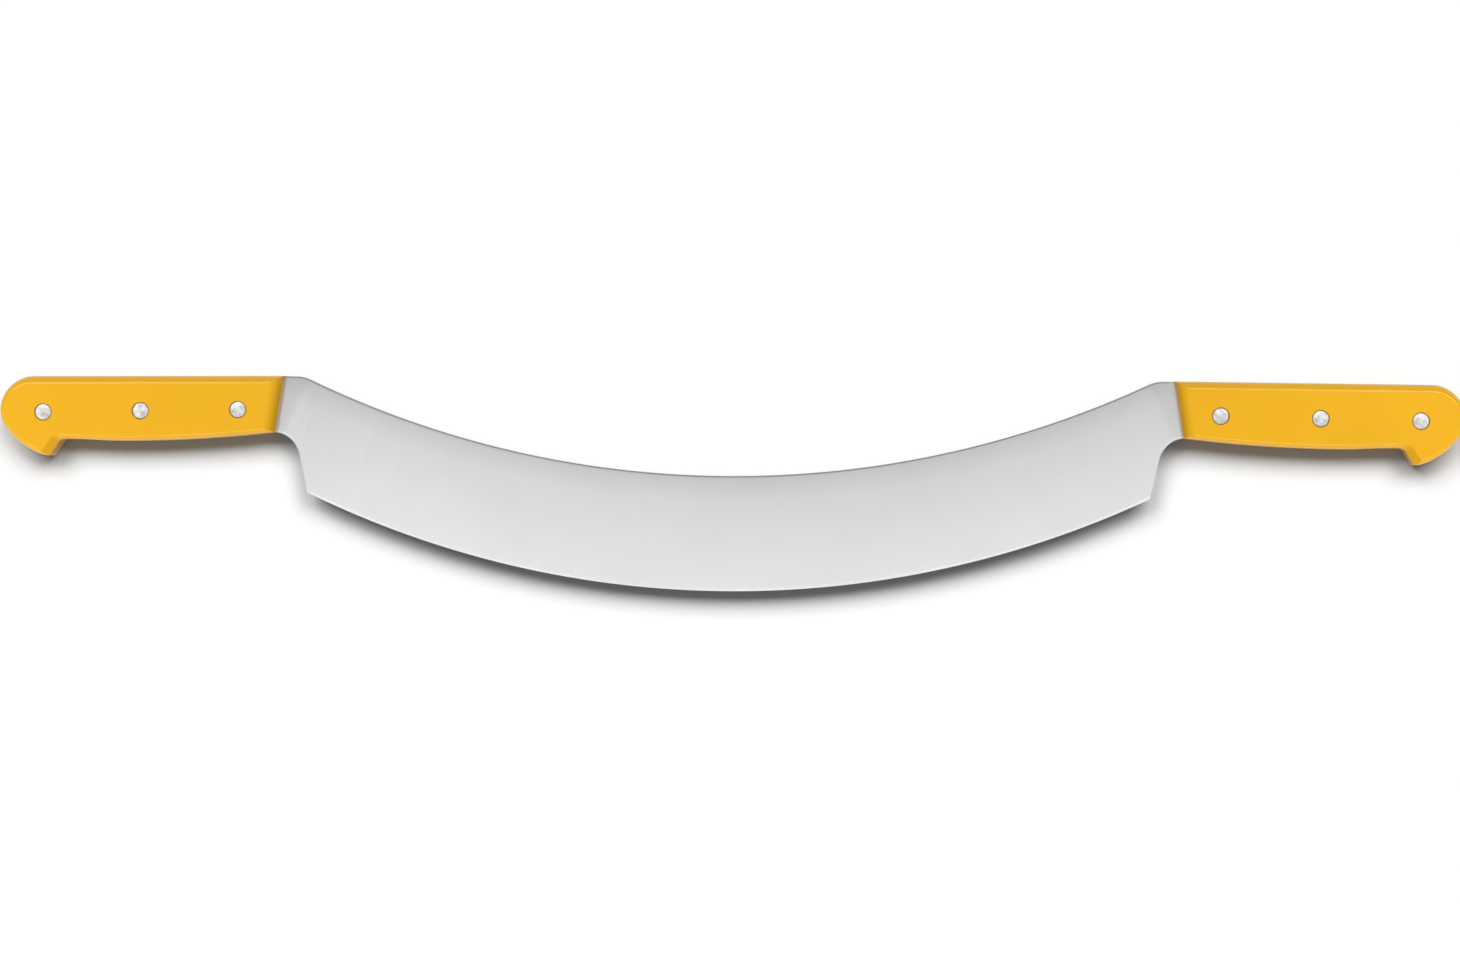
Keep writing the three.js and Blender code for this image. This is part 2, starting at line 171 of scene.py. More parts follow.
# Worked out from the sizes above
HALF_STOCK = STOCK / 2
HALF_HANDLE = HALF_STOCK + SCALE_THICKNESS
HANDLE_FRONT = BLADE_SPAN / 2
HOOK_TIP_Y = -(ROOT_HEIGHT + HOOK_DROP)
HOOK_ROOT = np.array((
    HANDLE_LENGTH - HOOK_LENGTH - HOOK_ROOT_RADIUS * math.cos(HOOK_LEAN),
    -ROOT_HEIGHT,
))
HEAD_TOP = HALF_HANDLE - HEAD_RECESS
HEAD_FOOT = HEAD_TOP - HEAD_HEIGHT
HEAD_HOLE = HEAD_RADIUS + RIVET_CLEARANCE
SHANK_HOLE = SLEEVE_RADIUS + RIVET_CLEARANCE


def spine_y(x):
    return SPINE_RADIUS - np.sqrt(SPINE_RADIUS**2 - x**2)


def edge_y(x):
    return EDGE_RADIUS - BLADE_WIDTH - np.sqrt(EDGE_RADIUS**2 - x**2)


TOP_LEVEL = float(spine_y(HANDLE_FRONT - NECK_FLAT))
PLACE = np.array((0.0, (BLADE_WIDTH - TOP_LEVEL) / 2, HALF_HANDLE))


# Outlines

DOWNWARD = 1.5 * math.pi


def arc(centre, radius, start, end):
    """Points along an arc, both ends included."""
    step = min(2 * math.acos(1 - CHORD_ERROR / radius), LONGEST_SIDE / radius)
    count = max(2, math.ceil(abs(end - start) / step))
    angles = np.linspace(start, end, count + 1)
    return np.column_stack((centre[0] + radius * np.cos(angles), centre[1] + radius * np.sin(angles)))


def straight(start, end):
    """Points along a straight side, its end left out."""
    start, end = np.array(start, float), np.array(end, float)
    count = max(1, math.ceil(np.linalg.norm(end - start) / LONGEST_SIDE))
    return start + (end - start) * np.linspace(0, 1, count, endpoint=False)[:, None]


def bezier(*controls):
    """Points along a Bezier curve, both ends included."""
    t = np.linspace(0, 1, BEND_STEPS + 1)[:, None]
    points = [np.broadcast_to(np.array(control, float), (len(t), 2)) for control in controls]
    while len(points) > 1:
        points = [a * (1 - t) + b * t for a, b in zip(points, points[1:])]
    return points[0]


def without_repeats(points):
    kept = [0]
    for i in range(1, len(points)):
        if np.linalg.norm(points[i] - points[kept[-1]]) > CHORD_ERROR:
            kept.append(i)
    return points[kept]


def angle_of(vector):
    return math.atan2(vector[1], vector[0]) % math.tau


def inset(points, widths):
    """Moves each side of a counterclockwise outline to its left by that side's width."""
    sides = np.roll(points, -1, axis=0) - points
    sides = sides / np.linalg.norm(sides, axis=1)[:, None]
    after = np.column_stack((-sides[:, 1], sides[:, 0]))
    before = np.roll(after, 1, axis=0)
    width_before = np.roll(widths, 1)
    turn = before[:, 0] * after[:, 1] - before[:, 1] * after[:, 0]
    curve = np.abs(turn) < math.sin(SHARPEST_BEND)
    middle = before + after
    middle = middle / np.linalg.norm(middle, axis=1)[:, None]
    along = middle * ((widths + width_before) / 2 / (middle * after).sum(axis=1))[:, None]
    divisor = np.where(curve, 1, turn)
    corner = np.column_stack((
        (width_before * after[:, 1] - widths * before[:, 1]) / divisor,
        (widths * before[:, 0] - width_before * after[:, 0]) / divisor,
    ))
    return points + np.where(curve[:, None], along, corner)


# Handle outline: origin at the upper front corner, x towards the butt


def front_at(depth):
    return np.array((depth * FRONT_SLOPE, -depth))


def top_and_butt():
    """From the upper front corner along the top and round the butt to the tip of the hook."""
    upper = (HANDLE_LENGTH - BUTT_RADIUS, -BUTT_RADIUS)
    back = np.array((HANDLE_LENGTH, -BUTT_RADIUS))
    tip = np.array((HANDLE_LENGTH - HOOK_LENGTH + TIP_WIDTH, HOOK_TIP_Y))
    tip_lead = tip + TIP_LEAD * np.array((math.cos(TIP_RISE), math.sin(TIP_RISE)))
    return without_repeats(np.vstack((
        front_at(0),
        arc(upper, BUTT_RADIUS, math.pi / 2, 0),
        bezier(back, back - (0, BUTT_LEAD), tip_lead, tip),
    )))


def finger_curve():
    """Underside and inner face of the hook, from the lower front corner to the hook's tip."""
    foot = front_at(FRONT_HEIGHT)
    belly = np.array((BELLY_POSITION, -BELLY_HEIGHT))
    front_bend = ((foot[0] + belly[0]) / 2, belly[1])
    rear_x = (belly[0] + HOOK_ROOT[0]) / 2
    root_centre = HOOK_ROOT - (0, HOOK_ROOT_RADIUS)
    root = arc(root_centre, HOOK_ROOT_RADIUS, math.pi / 2, HOOK_LEAN)
    face_foot_y = HOOK_TIP_Y + TIP_CHAMFER
    face_foot_x = root[-1, 0] + (root[-1, 1] - face_foot_y) * math.tan(HOOK_LEAN)
    return without_repeats(np.vstack((
        bezier(foot, front_bend, belly),
        bezier(belly, (rear_x, belly[1]), (rear_x, HOOK_ROOT[1]), HOOK_ROOT),
        root,
        (face_foot_x, face_foot_y),
        (face_foot_x + TIP_CHAMFER, HOOK_TIP_Y),
    )))


def on_right_handle(points):
    c, s = math.cos(HANDLE_DROOP), math.sin(HANDLE_DROOP)
    x, y = np.atleast_2d(points).T
    return np.column_stack((HANDLE_FRONT + c * x + s * y, TOP_LEVEL - s * x + c * y))


# Blade outline


def spine_and_neck():
    """The spine from the middle of the blade, the bend above the neck and the flat to the handle."""
    centre = np.array((0, SPINE_RADIUS))
    corner_y = TOP_LEVEL - NECK_CORNER_RADIUS
    reach = SPINE_RADIUS + NECK_CORNER_RADIUS
    corner = np.array((math.sqrt(reach**2 - (SPINE_RADIUS - corner_y) ** 2), corner_y))
    touch = angle_of(corner - centre)
    bend = arc(corner, NECK_CORNER_RADIUS, touch - math.pi, math.pi / 2)
    flat = straight(bend[-1], (HANDLE_FRONT, TOP_LEVEL))
    return np.vstack((arc(centre, SPINE_RADIUS, DOWNWARD, touch), bend, flat))


def neck_and_edge():
    """The hollow of the neck down to the heel, and the edge from there to the middle of the blade."""
    start = on_right_handle(front_at(FRONT_HEIGHT))[0]
    heel_x = start[0] - HEEL_SETBACK
    heel = np.array((heel_x, float(edge_y(heel_x))))
    along = np.array((math.sin(HEEL_LEAN), math.cos(HEEL_LEAN)))
    away = np.array((along[1], -along[0]))
    to_start = start - heel
    chord = math.sqrt(NECK_RADIUS**2 - (to_start @ away - NECK_RADIUS) ** 2)
    touch = heel + along * (to_start @ along - chord)
    hollow = touch + away * NECK_RADIUS
    bend = arc(hollow, NECK_RADIUS, angle_of(start - hollow), math.pi - HEEL_LEAN)
    centre = np.array((0, EDGE_RADIUS - BLADE_WIDTH))
    edge = arc(centre, EDGE_RADIUS, angle_of(heel - centre), DOWNWARD)
    return np.vstack((bend[:-1], straight(touch, heel))), edge


def blade_outline():
    """Counterclockwise outline of the blade with both tangs, and what each point lies on."""
    neck, edge = neck_and_edge()
    stretches = (
        ("spine", spine_and_neck()),
        ("tang", on_right_handle(np.vstack((top_and_butt(), finger_curve()[-2::-1])))),
        ("neck", neck[1:]),
        ("edge", edge),
    )
    kinds = np.concatenate([[kind] * len(points) for kind, points in stretches])
    right = np.vstack([points for _, points in stretches])
    apart = np.linalg.norm(np.diff(right, axis=0), axis=1) > CHORD_ERROR
    kept = np.concatenate(([True], apart))
    right, kinds = right[kept], kinds[kept]
    left = right[1:-1] * (-1, 1)
    return np.vstack((left, right[::-1])), np.concatenate((kinds[1:-1], kinds[::-1]))


def ground_half(points):
    """Half thickness of the ground blade, full near the handles."""
    x, y = np.abs(points[:, 0]), points[:, 1]
    upper = spine_y(np.minimum(x, SPINE_RADIUS)) - SPINE_EASE
    lower = edge_y(np.minimum(x, EDGE_RADIUS)) + BEVEL_WIDTH
    taper = np.clip((upper - y) / (upper - lower), 0, 1)
    front_x = HANDLE_FRONT + (TOP_LEVEL - y) * FRONT_SLOPE
    near = np.maximum(0, RUN_OUT - front_x + x) / (RUN_OUT - RUN_OUT_CLEARANCE)
    drop = (STOCK - BEHIND_EDGE) / 2
    return np.minimum(HALF_STOCK, HALF_STOCK - drop * taper + drop * near**2)


# Meshes


def mesh_of(name, vertices, faces):
    """Mesh in metres from millimetre points about the middle of the spine."""
    mesh = bpy.data.meshes.new(name)
    mesh.from_pydata(((np.array(vertices) + PLACE) * MM).tolist(), [], faces)
    mesh.update()
    return mesh


def add_object(name, data):
    obj = bpy.data.objects.new(name, data)
    bpy.context.scene.collection.objects.link(obj)
    return obj


def stacked(name, levels):
    """Closed skin over (points, z) levels of equally many points, wound counterclockwise."""
    count = len(levels[0][0])
    vertices = np.vstack([np.column_stack((points, np.full(count, z))) for points, z in levels])
    faces = [list(range(count))[::-1]]
    top = (len(levels) - 1) * count
    for low in range(0, top, count):
        for i in range(count):
            j = (i + 1) % count
            faces.append([low + i, low + j, low + count + j, low + count + i])
    faces.append(list(range(top, top + count)))
    return mesh_of(name, vertices, faces)


def turned(name, profile, place):
    """Closed body of revolution from (radius, z) pairs that start and end on the axis."""
    angles = np.linspace(0, math.tau, RIVET_SEGMENTS, endpoint=False)
    ring = np.column_stack((np.cos(angles), np.sin(angles)))
    vertices = [(*place, profile[0][1]), (*place, profile[-1][1])]
    for radius, z in profile[1:-1]:
        vertices += [(place[0] + radius * x, place[1] + radius * y, z) for x, y in ring]
    faces = []
    last = 2 + (len(profile) - 3) * RIVET_SEGMENTS
    for i in range(RIVET_SEGMENTS):
        j = (i + 1) % RIVET_SEGMENTS
        faces.append([0, 2 + j, 2 + i])
        for low in range(2, last, RIVET_SEGMENTS):
            faces.append([low + i, low + j, low + RIVET_SEGMENTS + j, low + RIVET_SEGMENTS + i])
        faces.append([1, last + i, last + j])
    return mesh_of(name, vertices, faces)


def cut(mesh, cutters):
    """The mesh with every cutter taken away from it."""
    blank = add_object("blank", mesh)
    tools = [add_object("cutter", cutter) for cutter in cutters]
    for tool in tools:
        modifier = blank.modifiers.new("cut", "BOOLEAN")
        modifier.operation = "DIFFERENCE"
        modifier.solver = "EXACT"
        modifier.object = tool
    graph = bpy.context.evaluated_depsgraph_get()
    result = bpy.data.meshes.new_from_object(blank.evaluated_get(graph))
    for obj in [blank, *tools]:
        bpy.data.objects.remove(obj)
    return result


def shade(obj, crease_angle):
    obj.data.shade_smooth()
    obj.data.set_sharp_from_angle(angle=math.radians(crease_angle))
    weighted = obj.modifiers.new("weighted_normals", "WEIGHTED_NORMAL")
    weighted.keep_sharp = True
    weighted.weight = LARGE_FACE_WEIGHT


# Scales


def rounded_edge():
    """Levels of a rounded edge: share of its width moved in, and height."""
    angles = np.linspace(0, math.pi / 2, ROUND_STEPS + 1)
    height = SCALE_THICKNESS - SIDE_WALL
    return [(1 - math.cos(a), HALF_HANDLE - height * (1 - math.sin(a))) for a in angles]


def side_middles(points):
    return (points + np.roll(points, -1, axis=0)) / 2


def scale_blank():
    """Scale with a straight lower side and rounded edges, before anything is cut from it."""
    points = np.vstack((front_at(-HOOK_TIP_Y), top_and_butt()[::-1]))
    toward_butt = np.clip(-side_middles(points)[:, 1] / BUTT_RADIUS, 0, 1)
    widths = TOP_ROUND + (BUTT_ROUND - TOP_ROUND) * toward_butt
    widths[-1] = FRONT_ROUND
    levels = [(inset(points, widths * share), z) for share, z in rounded_edge()]
    return stacked("scale_blank", [(points, HALF_STOCK), *levels])


def finger_cutter():
    """Space for the fingers: a rounded edge under the handle and a flat facet down the hook."""
    curve = finger_curve()
    tip = curve[-1]
    lead = curve[0] - curve[1]
    start = curve[0] + lead * (2 * FRONT_ROUND / np.linalg.norm(lead))
    end = tip + (OVERSHOOT, -OVERSHOOT)
    points = np.vstack((end, curve[-2::-1], start, (start[0], end[1])))
    at_hook = np.clip((side_middles(points)[:, 0] - HOOK_ROOT[0]) / HOOK_ROOT_RADIUS, 0, 1)
    levels = []
    for share, z in rounded_edge():
        facet_share = max(0.0, 1 - (HALF_HANDLE - z) / HOOK_FACET_HEIGHT)
        widths = FINGER_ROUND * share * (1 - at_hook) + HOOK_FACET * facet_share * at_hook
        levels.append((inset(points, -widths), z))
    below = (points, HALF_STOCK - OVERSHOOT)
    above = (levels[-1][0], HALF_HANDLE + OVERSHOOT)
    return stacked("finger_cutter", [below, *levels, above])


def rivet_cutter(place):
    """Hole for a rivet, with room for its head and a countersunk seam round it."""
    profile = [
        (0, HALF_STOCK - OVERSHOOT),
        (SHANK_HOLE, HALF_STOCK - OVERSHOOT),
        (SHANK_HOLE, HEAD_FOOT),
        (HEAD_HOLE, HEAD_FOOT),
        (HEAD_HOLE, HALF_HANDLE - SEAM_DEPTH),
        (HEAD_HOLE + SEAM_WIDTH, HALF_HANDLE),
        (HEAD_HOLE + SEAM_WIDTH, HALF_HANDLE + OVERSHOOT),
        (0, HALF_HANDLE + OVERSHOOT),
    ]
    return turned("rivet_cutter", profile, place)


def set_seam_finish(mesh):
    """Gives the countersunk seams round the rivet heads their own finish, dark as painted shade."""
    reach = HEAD_HOLE + SEAM_WIDTH
    for polygon in mesh.polygons:
        centre = np.array(polygon.center) / MM - PLACE
        near = min(np.linalg.norm(centre[:2] - place) for place in RIVET_PLACES.values()) < reach
        if near and centre[2] > HALF_HANDLE - SEAM_DEPTH and polygon.normal.z < FLAT_NORMAL:
            polygon.material_index = SEAM


def scale_mesh():
    cutters = [finger_cutter(), *(rivet_cutter(place) for place in RIVET_PLACES.values())]
    scale = cut(scale_blank(), cutters)
    scale.materials.clear()
    set_seam_finish(scale)
    return scale


def onto_knife(mesh, sign, turned_over):
    """Copy of a mesh made in the handle's own outline, set on the tang on the side of the sign."""
    middle = Matrix.Translation(Vector(PLACE * MM))
    place = Matrix.Translation(Vector((HANDLE_FRONT * MM, TOP_LEVEL * MM, 0)))
    droop = Matrix.Rotation(-HANDLE_DROOP, 4, "Z")
    across = Matrix.Diagonal((sign, 1, 1, 1))
    over = Matrix.Diagonal((1, 1, -1 if turned_over else 1, 1))
    copy = mesh.copy()
    copy.transform(middle @ across @ place @ droop @ over @ middle.inverted())
    if (sign < 0) != turned_over:
        copy.flip_normals()
    return copy


# Rivets


def crowned_head():
    """Rim with a small chamfer and a low crown, from the foot of the head to its middle."""
    flat = HEAD_RADIUS - HEAD_CHAMFER
    rim = HEAD_TOP - HEAD_CROWN
    shares = np.linspace(1, 0, CROWN_STEPS + 1)
    crown = [(flat * share, rim + HEAD_CROWN * (1 - share**2)) for share in shares]
    return [(HEAD_RADIUS, HEAD_FOOT), (HEAD_RADIUS, rim - HEAD_CHAMFER), *crown]


def sleeve_mesh(place):
    bore = PIN_RADIUS + RIVET_CLEARANCE
    foot = -HEAD_FOOT + RIVET_END_GAP
    stem = [
        (0, HEAD_FOOT),
        (bore, HEAD_FOOT),
        (bore, foot),
        (SLEEVE_RADIUS, foot),
        (SLEEVE_RADIUS, HEAD_FOOT),
    ]
    return turned("sleeve", stem + crowned_head(), place)


def pin_mesh(place):
    end = HEAD_FOOT - RIVET_END_GAP
    head = [(radius, -z) for radius, z in crowned_head()[::-1]]
    stem = [
        (PIN_RADIUS, -HEAD_FOOT),
        (PIN_RADIUS, end - PIN_LEAD),
        (PIN_RADIUS - PIN_LEAD, end),
        (0, end),
    ]
    return turned("pin", head + stem, place)


# Blade


def rivet_holes():
    """Centres of the holes in both tangs."""
    right = np.vstack([on_right_handle(place) for place in RIVET_PLACES.values()])
    return np.vstack((right, right * (-1, 1)))


def interior_points(holes):
    """Points to fill the blade with: close together where the grind runs out."""
    body_end = HANDLE_FRONT - RUN_OUT - RUN_OUT_LEAD
    body = np.linspace(0, body_end, BODY_COLUMNS)
    run_out = np.arange(body_end + RUN_OUT_PITCH, HANDLE_FRONT + TANG_START, RUN_OUT_PITCH)
    x = np.concatenate((body, run_out))
    shares = np.linspace(EDGE_SHARE, 1 - EDGE_SHARE, BODY_ROWS)
    y = spine_y(x)[:, None] + (edge_y(x) - spine_y(x))[:, None] * shares
    right = np.column_stack((np.repeat(x, BODY_ROWS), y.ravel()))
    tang_x = np.arange(TANG_START, HANDLE_LENGTH, TANG_PITCH)
    tang_y = np.arange(TANG_FOOT, 0, TANG_PITCH)
    tang = np.stack(np.meshgrid(tang_x, tang_y), axis=-1).reshape(-1, 2)
    points = np.vstack((right, on_right_handle(tang)))
    points = np.vstack((points, points[points[:, 0] > CHORD_ERROR] * (-1, 1)))
    for centre in holes:
        points = points[np.linalg.norm(points - centre, axis=1) > SLEEVE_RADIUS + HOLE_MARGIN]
    return points


def inside(points, loop, margin):
    """Which points lie within a closed loop, at least a margin away from it."""
    start, end = loop, np.roll(loop, -1, axis=0)
    side = end - start
    kept = np.zeros(len(points), bool)
    for i, (x, y) in enumerate(points):
        crosses = (start[:, 1] > y) != (end[:, 1] > y)
        at = start[crosses, 0] + (y - start[crosses, 1]) / side[crosses, 1] * side[crosses, 0]
        if (at > x).sum() % 2:
            offset = np.array((x, y)) - start
            share = np.clip((offset * side).sum(axis=1) / (side * side).sum(axis=1), 0, 1)
            kept[i] = np.linalg.norm(offset - side * share[:, None], axis=1).min() > margin
    return kept


def blade_loops():
    """Loops from the outline inwards, with the half thickness at each point, and the kinds."""
    outline, kinds = blade_outline()
    ground = ground_half(outline)
    spine_ease = np.minimum(SPINE_EASE, SPINE_EASE_SHARE * ground)
    neck_ease = np.minimum(NECK_EASE, NECK_EASE_SHARE * ground)
    ease = np.select([kinds == "spine", kinds == "neck"], [spine_ease, neck_ease], 0)
    width = np.where(kinds == "edge", BEVEL_WIDTH, np.maximum(ease, SUPPORT))
    loops = []
    for angle in np.linspace(0, math.pi / 2, EASE_STEPS + 1):
        share = 1 - math.cos(angle)
        points = inset(outline, width * share)
        half = ground_half(points) - ease * (1 - math.sin(angle))
        bevel = EDGE_LAND / 2 + (BEHIND_EDGE - EDGE_LAND) / 2 * share
        loops.append((points, np.where(kinds == "edge", np.minimum(bevel, half), half)))
    support = inset(outline, width + SUPPORT)
    loops.append((support, ground_half(support)))
    return loops, kinds


def neighbours(count):
    """Each place on a closed ring with the next one."""
    return [(i, (i + 1) % count) for i in range(count)]


def fill_face(rim, first):
    """Triangles over a face of the blade, inside the rim and outside the holes.

    Gives the points, the triangles, the ring of the rim and the rings of the holes. Points are
    counted from the given first number.
    """
    holes = rivet_holes()
    circle = arc((0, 0), SHANK_HOLE, 0, math.tau)[:-1]
    fill = interior_points(holes)
    fill = fill[inside(fill, rim, RIM_MARGIN)]
    points = np.vstack((rim, *(circle + centre for centre in holes), fill))
    rings = [range(len(rim))]
    for _ in holes:
        rings.append(range(rings[-1].stop, rings[-1].stop + len(circle)))
    edges = [(ring[i], ring[j]) for ring in rings for i, j in neighbours(len(ring))]
    flat = [Vector(point) for point in points.tolist()]
    out, _, triangles, origin, _, _ = delaunay_2d_cdt(flat, edges, [], INSIDE_ONLY, MERGE_DISTANCE)
    out = np.array([tuple(point) for point in out])
    centres = out[np.array(triangles)].mean(axis=1)
    to_hole = np.linalg.norm(centres[:, None] - holes, axis=2).min(axis=1)
    solid = [t for t, far in zip(triangles, to_hole) if far > SHANK_HOLE - HOLE_SLACK]
    solid = [[number + first for number in triangle] for triangle in solid]
    number_of = {old[0]: new + first for new, old in enumerate(origin) if old}
    rings = [[number_of[old] for old in ring] for ring in rings]
    return out, solid, rings[0], rings[1:]


def band_finish(kind, next_kind):
    """Finish of the narrow bands between the outline and the face."""
    # The neck's rounding takes the brighter whetted grey, a painted highlight along the neck
    if kind == "neck" or kind == next_kind == "edge":
        return BEVEL_AND_NECK_HIGHLIGHT
    return EASE if kind == "spine" else FACE


def blade_mesh():
    """The blade with both tangs, and the pairs of points along the top of its cutting bevel."""
    loops, kinds = blade_loops()
    count = len(kinds)
    bands = np.vstack([np.column_stack(loop) for loop in loops[:-1]])
    filled, triangles, rim, hole_rings = fill_face(loops[-1][0], len(bands))
    front = np.vstack((bands, np.column_stack((filled, ground_half(filled)))))
    rings = [range(start, start + count) for start in range(0, len(bands), count)] + [rim]
    faces, finishes = [], []
    for level, (outer, inner) in enumerate(zip(rings, rings[1:])):
        for i, j in neighbours(count):
            faces.append([outer[i], outer[j], inner[j], inner[i]])
            finishes.append(band_finish(kinds[i], kinds[j]) if level < EASE_STEPS else FACE)
    faces += triangles
    finishes += [FACE] * len(triangles)
    back = len(front)
    vertices = np.vstack((front, front * (1, 1, -1)))
    faces += [[number + back for number in face[::-1]] for face in faces]
    finishes += finishes
    for i, j in neighbours(count):
        faces.append([i, i + back, j + back, j])
        # The tang's edges take the rough as-cut grey, made darker as painted shade between the scales
        finishes.append(RIM if kinds[i] == "tang" else EASE)
    for ring in hole_rings:
        faces += [[ring[j], ring[j] + back, ring[i] + back, ring[i]] for i, j in neighbours(len(ring))]
        finishes += [FACE] * len(ring)
    mesh = mesh_of("blade_steel", vertices, faces)
    mesh.polygons.foreach_set("material_index", finishes)
    add_grain(mesh, vertices)
    top = rings[EASE_STEPS]
    bevel_top = [(top[i], top[j]) for i, j in neighbours(count) if kinds[i] == kinds[j] == "edge"]
    return mesh, bevel_top + [(a + back, b + back) for a, b in bevel_top]


def add_grain(mesh, vertices):
    """Map that runs along the curve of the blade and across it, in metres."""
    along = np.arctan2(vertices[:, 0], SPINE_RADIUS - vertices[:, 1]) * SPINE_RADIUS
    across = np.hypot(vertices[:, 0], SPINE_RADIUS - vertices[:, 1]) - SPINE_RADIUS
    grain = np.column_stack((along, across)) * MM
    corners = np.zeros(len(mesh.loops), int)
    mesh.loops.foreach_get("vertex_index", corners)
    flat = grain[corners].astype(np.float32).ravel()
    mesh.uv_layers.new(name="grain").uv.foreach_set("vector", flat)


def crease(mesh, pairs):
    """Keeps the edges between these pairs of points crisp."""
    lines = {frozenset(pair) for pair in pairs}
    for edge in mesh.edges:
        if frozenset(edge.vertices) in lines:
            edge.use_edge_sharp = True


# Finishes

# Most values of a noise lie between these two
NOISE_LOW = 0.3
NOISE_HIGH = 0.7

# Painted shade on the steel from the spine down to this depth, as (share of the depth, share of the
# colour kept)
SPINE_SHADE_DEPTH = 0.011
SPINE_PAINTED_SHADE = ((0, 0.82), (0.18, 0.90), (0.45, 0.94), (1, 1.0))
STEEL_CLOUD_SHARE = 0.965

# How often a grinding line changes in a metre of its length
LINE_CHANGES = 30.0


def finish_of(name):
    """A new material with its shader, and functions that add nodes to it and link them."""
    material = bpy.data.materials.new(name)
    material.use_nodes = True
    tree = material.node_tree
    shader = tree.nodes["Principled BSDF"]

    def add(kind, settings=None, **inputs):
        node = tree.nodes.new(kind)
        for key, value in (settings or {}).items():
            setattr(node, key, value)
        for key, value in inputs.items():
            socket = node.inputs[key]
            if isinstance(value, bpy.types.NodeSocket):
                tree.links.new(value, socket)
            else:
                socket.default_value = value
        return node

    return material, shader, add, tree.links.new


def noise(add, place, scale, detail, roughness):
    node = add("ShaderNodeTexNoise", Vector=place, Scale=scale, Detail=detail, Roughness=roughness)
    return node.outputs["Fac"]


def ramp(add, factor, *stops):
    """Colours along a factor, from (position, colour) stops."""
    node = add("ShaderNodeValToRGB", Fac=factor)
    elements = node.color_ramp.elements
    while len(elements) < len(stops):
        elements.new(0.5)
    for element, (position, colour) in zip(elements, stops):
        element.position = position
        element.color = (*colour, 1)
    return node.outputs["Color"]


def remap(add, value, low, high, to_low, to_high):
    node = add("ShaderNodeMapRange", Value=value)
    keys = ("From Min", "From Max", "To Min", "To Max")
    for key, number in zip(keys, (low, high, to_low, to_high)):
        node.inputs[key].default_value = number
    return node.outputs["Result"]


def noisy_colour(add, factor, dark, light):
    return ramp(add, factor, (NOISE_LOW, dark), (NOISE_HIGH, light))


def noisy_number(add, factor, low, high):
    return remap(add, factor, NOISE_LOW, NOISE_HIGH, low, high)


def plastic():
    """Golden plastic, faintly cloudy, with a fine surface grain."""
    material, shader, add, link = finish_of("golden_plastic")
    place = add("ShaderNodeTexCoord").outputs["Object"]
    cloud = noise(add, place, scale=22.0, detail=3.0, roughness=0.5)
    grain = noise(add, place, scale=2600.0, detail=2.0, roughness=0.6)
    smear = noise(add, place, scale=160.0, detail=4.0, roughness=0.6)
    colour = noisy_colour(add, cloud, dark=(0.72, 0.366, 0.002), light=(0.76, 0.394, 0.003))
    bump = add("ShaderNodeBump", Height=grain, Strength=0.12, Distance=0.00006)
    link(colour, shader.inputs["Base Color"])
    link(noisy_number(add, smear, low=0.16, high=0.23), shader.inputs["Roughness"])
    link(bump.outputs["Normal"], shader.inputs["Normal"])
    shader.inputs["Specular IOR Level"].default_value = 0.42
    return material


def seam():
    """Dull plastic in the countersink round a rivet head, darkened as painted shade in the gap."""
    material, shader, add, link = finish_of("seam_painted_shade")
    place = add("ShaderNodeTexCoord").outputs["Object"]
    seam_shade_noise = noise(add, place, scale=700.0, detail=3.0, roughness=0.6)
    # Painted shade: dark brown in place of the shade in the gap round the head
    colour = noisy_colour(add, seam_shade_noise, dark=(0.30, 0.14, 0.02), light=(0.44, 0.23, 0.045))
    link(colour, shader.inputs["Base Color"])
    link(noisy_number(add, seam_shade_noise, low=0.5, high=0.7), shader.inputs["Roughness"])
    return material


def steel(name, grey, smooth, rough, pitch, depth):
    """Ground steel with fine lines across the blade, with painted shade that darkens it along the
    spine.
    """
    material, shader, add, link = finish_of(name)
    shader.inputs["Metallic"].default_value = 1.0
    grain = add("ShaderNodeUVMap", {"uv_map": "grain"}).outputs["UV"]
    stretched = add("ShaderNodeMapping", Vector=grain, Scale=(1 / pitch, LINE_CHANGES, 1.0))
    lines = noise(add, stretched.outputs["Vector"], scale=1.0, detail=4.0, roughness=0.65)
    cloud = noise(add, grain, scale=28.0, detail=3.0, roughness=0.5)
    colour = noisy_colour(add, cloud, dark=(grey * STEEL_CLOUD_SHARE,) * 3, light=(grey,) * 3)
    across = add("ShaderNodeSeparateXYZ", Vector=grain).outputs["Y"]
    # Painted shade: the colour darkens towards the spine
    below_spine = remap(add, across, 0, SPINE_SHADE_DEPTH, 0, 1)
    spine_shade_colour = ramp(add, below_spine, *((place, (share,) * 3) for place, share in SPINE_PAINTED_SHADE))
    shaded_steel = add("ShaderNodeMix", {"data_type": "RGBA", "blend_type": "MULTIPLY"})
    shaded_steel.inputs["Factor"].default_value = 1.0
    link(colour, shaded_steel.inputs["A"])
    link(spine_shade_colour, shaded_steel.inputs["B"])
    bump = add("ShaderNodeBump", Height=lines, Strength=0.25, Distance=depth)
    link(shaded_steel.outputs["Result"], shader.inputs["Base Color"])
    link(noisy_number(add, lines, low=smooth, high=rough), shader.inputs["Roughness"])
    link(bump.outputs["Normal"], shader.inputs["Normal"])
    return material


